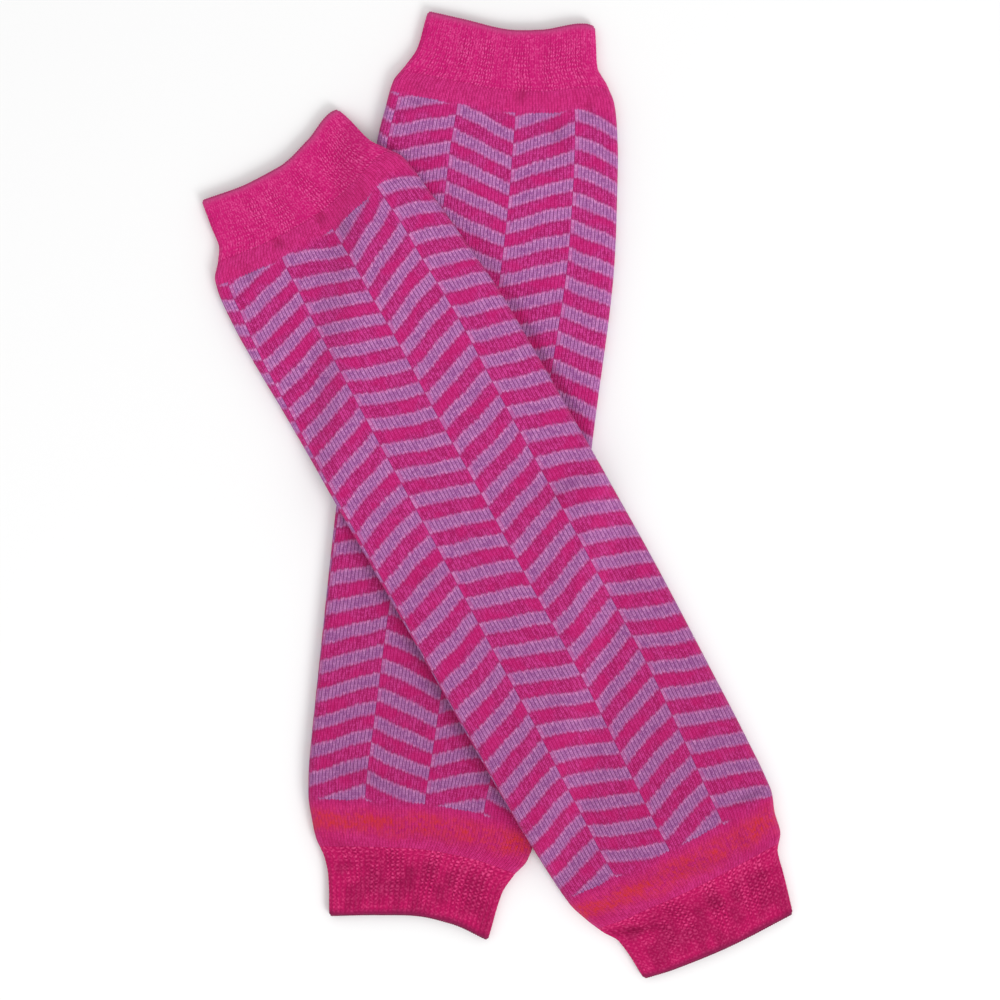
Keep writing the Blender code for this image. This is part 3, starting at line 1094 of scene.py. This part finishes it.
def rib_finish(yarn):
    """The finish of a cuff in this yarn."""

    def finish(tree):
        # each stitch is looked up a little out of its place
        rib, course = knit_map(tree)
        jolt = tree.cloud(rib, course, 1.4, 1.0) - 0.5
        pull = tree.cloud(rib, course * 0.8, 0.9, 1.0) - 0.5
        knit = tree.group(RIB_STITCH, rib + jolt * 0.6, course + pull * 0.9, yarn.columns)
        column, row, height, over_columns, over_rows, hole = knit
        stitch = tree.chance(column, row)
        fibre = tree.chance((rib * 4.0).math("FLOOR"), (course * 3.0).math("FLOOR"))
        patch = tree.cloud(rib, course * 0.6, 0.25, 1.0)
        # how clear the pattern is: most in the stretched bands, and near the seam too
        stretched = tree.cloud(rib, course * 0.1, 0.25, 1.0).eased(0.42, 0.60) * course.eased(15.0, 9.0)
        bared = (stretched * 0.6 + 0.3).math("MAXIMUM", course.eased(2.4, 0.8) * 0.6)
        # pale dots of painted highlight, dark patches that are partly painted shade, painted shade in creases
        # and holes, and the rim, on uneven yarn
        uneven = (stitch - 0.5) * 0.3 + (fibre - 0.5) * 0.80 + (patch - 0.5) * 0.4
        pattern = over_columns * yarn.ribbed + over_rows * (over_columns * yarn.dotted + yarn.rowed)
        colour = tree.mix(pattern * bared + uneven + yarn.light, yarn.main, yarn.pale)
        patches = patch.eased(0.35, 0.65) * course.eased(1.0, 6.0) * yarn.deeper
        colour = tree.mix(patches + sunk_here(tree) * CREASE_SHADE, colour, yarn.hole)
        colour = tree.mix(pattern * bared * (stitch * 0.8 - 1.4), colour, yarn.hole)
        rim = course.eased(yarn.last - 1.8, yarn.last) * 0.8
        colour = tree.mix(rim, colour, yarn.edge)
        return colour, height * -0.08 + 0.93, height - hole * bared + stitch * 0.2

    return finish


TOP_FINISH = make_yarn_material("top_cuff_rib", rib_finish(TOP_YARN), RIB_BUMP)
ANKLE_FINISH = make_yarn_material("ankle_cuff_rib", rib_finish(ANKLE_YARN), RIB_BUMP)

# %% [markdown]
# ## Make the six walls
#
# Now every piece is one call: its wall, then the relief tree on it. Each takes the place of its plain node in
# the frame.

# %% Walls
FINISHES = {"top_cuff": TOP_FINISH, "leg": LEG_FINISH, "ankle_cuff": ANKLE_FINISH}
WALE_HEIGHT = 0.00009
HOLE_DEPTH = 0.0001


def make_piece(leg, part):
    """One piece of a leg warmer, with its relief."""
    name = f"{leg.name}_{part.name}_knit"
    if part.name == "leg":
        wall = make_wall(name, leg, part, LEG_COLUMNS, WALES, leg_turn, leg_course)
        relief = {"ridge_height": WALE_HEIGHT, "roundness": 0.0, "columns": 1.0, "hole_depth": 0.0}
    else:
        wall = make_wall(name, leg, part, CUFF_COLUMNS, 2 * RIBS, cuff_turn, cuff_course)
        columns = TOP_YARN.columns if part.name == "top_cuff" else ANKLE_YARN.columns
        ridge = part.rib * MM
        relief = {"ridge_height": ridge, "roundness": 1.0, "columns": columns, "hole_depth": HOLE_DEPTH}
    return apply_tree(wall, RELIEF, material=FINISHES[part.name], **relief)


KNITS = {}
for leg in (OVER, UNDER):
    for part in PARTS:
        piece = make_piece(leg, part)
        KNITS[f"{leg.name}_{part.name}"] = piece
        low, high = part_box(f"{leg.name}_{part.name}")
        points = np.array([vertex.co for vertex in piece.data.vertices])
        gap = max(np.abs(points.min(0) - low).max(), np.abs(points.max(0) - high).max()) / MM
        print(f"{piece.name}: {len(piece.data.polygons)} faces, box within {gap:.2f} mm of the frame's")

# %% [markdown]
# ## The cast-off edges
#
# A knitted edge ends in a chain of small loops. There are hundreds of them, all alike, along a line, so a
# Geometry Nodes tree sets one bent piece of yarn at each point of the edge, turned by two directions stored
# on the point: the way along the edge and the way off it.

# %% Edge loops
LOOP_RADIUS = 0.00036
LOOP_YARN = 0.00020
LOOP_SET_BACK = 0.10
LOOP_POINTS = 7
YARN_SIDES = 5
EDGE_BUMP = 0.00005
# patches and fuzz of the yarn, in waves to the metre
PATCHES = 900.0
FUZZ = 5200.0


def make_loop_tree():
    inputs = {"Geometry": SHAPE, **numbers("Loop radius", "Yarn radius"), "Material": FINISH}
    tree, given, end = new_group("Cast-off loops", "GeometryNodeTree", inputs, {"Geometry": SHAPE})
    geometry, loop_radius, yarn_radius, material = given
    arc = tree.add("GeometryNodeCurveArc", LOOP_POINTS, loop_radius)
    arc.node.inputs["Sweep Angle"].default_value = math.pi
    circle = tree.add("GeometryNodeCurvePrimitiveCircle", YARN_SIDES)
    tree.fill(next(s for s in circle.node.inputs if s.name == "Radius" and s.enabled), yarn_radius)
    loop = tree.add("GeometryNodeCurveToMesh", arc, circle)
    loop.node.inputs["Fill Caps"].default_value = True
    off, along = named(tree, "off_edge", "FLOAT_VECTOR"), named(tree, "along_edge", "FLOAT_VECTOR")
    turned = tree.add("FunctionNodeAxesToRotation", off, along, primary_axis="Y", secondary_axis="X")
    placed = tree.add("GeometryNodeInstanceOnPoints", geometry, None, loop)
    tree.fill(placed.node.inputs["Rotation"], turned)
    real = tree.add("GeometryNodeRealizeInstances", placed)
    smooth = tree.add("GeometryNodeSetShadeSmooth", real)
    return end_group(tree, end, [tree.add("GeometryNodeSetMaterial", smooth, None, material)])


CAST_OFF = make_loop_tree()


def edge_finish(yarn):
    """The finish of a cast-off edge in this yarn."""

    def finish(tree):
        x, y = tree.split(tree.add("ShaderNodeTexCoord", out=3))
        patch = tree.cloud(x, y, PATCHES)
        fuzz = tree.cloud(x, y, FUZZ, 3.0)
        # the loops take the rim's colour: at the ankle that is painted shade under the rolled edge, at the
        # top a paler tone
        return tree.mix(patch.eased(0.3, 0.7) * 0.3, yarn.edge, yarn.main), fuzz * 0.1 + 0.85, fuzz

    return finish


def make_edge(leg, course, side, ridge, finish):
    """The chain of loops along an open edge. side is -1 at the top edge and 1 at the ankle edge."""
    turns = (np.arange(WALES) + 0.5) / FACE_WALES
    level = np.full(turns.shape, course - side * LOOP_SET_BACK)
    points = cloth(leg, level, turns, CUFF_WALL / 2, ridge)[0]
    along = np.roll(points, -1, 0) - np.roll(points, 1, 0)
    along /= np.linalg.norm(along, axis=1)[:, None]
    ahead = np.append(directions(leg)[0], 0.0) * side
    off = ahead - along * (along @ ahead)[:, None]
    name = f"{leg.name}_{'top' if side < 0 else 'ankle'}_cuff_cast_off"
    mesh = bpy.data.meshes.new(name)
    mesh.from_pydata(points.tolist(), [], [])
    store(mesh, "along_edge", along, "FLOAT_VECTOR")
    store(mesh, "off_edge", off, "FLOAT_VECTOR")
    edge = add_object(name, mesh)
    return apply_tree(edge, CAST_OFF, loop_radius=LOOP_RADIUS, yarn_radius=LOOP_YARN, material=finish)


TOP_EDGE_FINISH = make_yarn_material("top_edge_yarn", edge_finish(TOP_YARN), EDGE_BUMP)
ANKLE_EDGE_FINISH = make_yarn_material("ankle_edge_yarn", edge_finish(ANKLE_YARN), EDGE_BUMP)
EDGES = {}
for leg in (OVER, UNDER):
    EDGES[f"{leg.name}_top_cuff"] = make_edge(leg, 0.0, -1, TOP_RIDGE, TOP_EDGE_FINISH)
    EDGES[f"{leg.name}_ankle_cuff"] = make_edge(leg, LENGTH, 1, ANKLE_RIDGE, ANKLE_EDGE_FINISH)
print("faces in a cast-off edge:", len(EDGES["over_top_cuff"].data.polygons))

# %% [markdown]
#
# Each piece is attached to the body it moves with, and the frame's plain node in its place is hidden. A
# knitted tube is a sheet whose cut is as wide as the tube is round and as long as the tube.

LAY_WIDTHS = {"top_cuff": 61.0, "leg": 84.0, "ankle_cuff": 61.5}
LAY_LENGTHS = {"top_cuff": TOP_RIB, "leg": LENGTH - TOP_RIB - ANKLE_RIB, "ankle_cuff": ANKLE_RIB}


def declare(leg, part):
    """Hides the frame's plain node, attaches the piece and its edge to the body they move with, and gives the
    size of its cut.
    """
    node = f"{leg.name}_{part.name}"
    knit, edge = KNITS[node], EDGES.get(node)
    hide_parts(node)
    for piece in [knit] + ([edge] if edge else []):
        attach(piece, "root")
    flat = (2.0 * LAY_WIDTHS[part.name] * MM, LAY_LENGTHS[part.name] * MM)
    return flat


for leg in (OVER, UNDER):
    for part in PARTS:
        print(leg.name, part.name, "cut to", [round(size / MM) for size in declare(leg, part)], "mm")

# %% [markdown]
# ## Floor, light and camera
#
# The pair lies on a plain white table. One large soft light stands to the lower right, beyond the ankle
# cuffs, and low enough to rake across the wales, so that ridges and folds show, and the white room fills the
# shadows. The camera looks straight down through a long lens.

# %% Floor
TABLE_SIZE = 6.0
TABLE_TOP = -0.0002
TABLE_WHITE = 0.9


def make_floor():
    bpy.ops.mesh.primitive_plane_add(size=TABLE_SIZE, location=(0.0, 0.0, TABLE_TOP))
    floor = bpy.context.object
    floor.name = "floor"
    material = bpy.data.materials.new("white_table")
    material.use_nodes = True
    shader = material.node_tree.nodes["Principled BSDF"]
    shader.inputs["Base Color"].default_value = rgb(TABLE_WHITE, TABLE_WHITE, TABLE_WHITE)
    shader.inputs["Roughness"].default_value = 0.9
    shader.inputs["Specular IOR Level"].default_value = 0.1
    floor.data.materials.append(material)
    print("table", TABLE_SIZE, "m wide")


make_floor()

# %% Light
KEY_PLACE = (0.95, -1.20, 1.25)
KEY_SIZE = 0.90
KEY_POWER = 18.0
ROOM_LIGHT = 0.86


def make_light():
    light = bpy.data.lights.new("key", "AREA")
    light.shape = "DISK"
    light.size = KEY_SIZE
    light.energy = KEY_POWER
    lamp = add_object("key", light)
    lamp.location = KEY_PLACE
    lamp.rotation_euler = (-Vector(KEY_PLACE)).to_track_quat("-Z", "Y").to_euler()
    world = bpy.context.scene.world or bpy.data.worlds.new("room")
    bpy.context.scene.world = world
    world.use_nodes = True
    background = world.node_tree.nodes["Background"]
    background.inputs[0].default_value = rgb(1.0, 1.0, 1.0)
    background.inputs[1].default_value = ROOM_LIGHT
    print("light of", KEY_POWER, "W, aimed at the pair from", KEY_PLACE, "m")


make_light()

# %% Camera
# the lens and the sensor in millimetres, and the width that the camera takes in, in metres
LENS = 135.0
SENSOR = 36.0
FIELD = 0.3425
CAMERA_X = 0.00086
CAMERA_Y = -0.00171
# the level at which the field is measured: half-way up the cloth
CLOTH_LEVEL = 0.0026


def make_camera():
    data = bpy.data.cameras.new("camera")
    data.lens = LENS
    data.sensor_width = SENSOR
    camera = add_object("camera", data)
    camera.location = (CAMERA_X, CAMERA_Y, FIELD * LENS / SENSOR + CLOTH_LEVEL)
    bpy.context.scene.camera = camera
    bpy.context.scene.view_settings.view_transform = "Standard"
    print("camera", round(camera.location.z, 3), "m up")


make_camera()
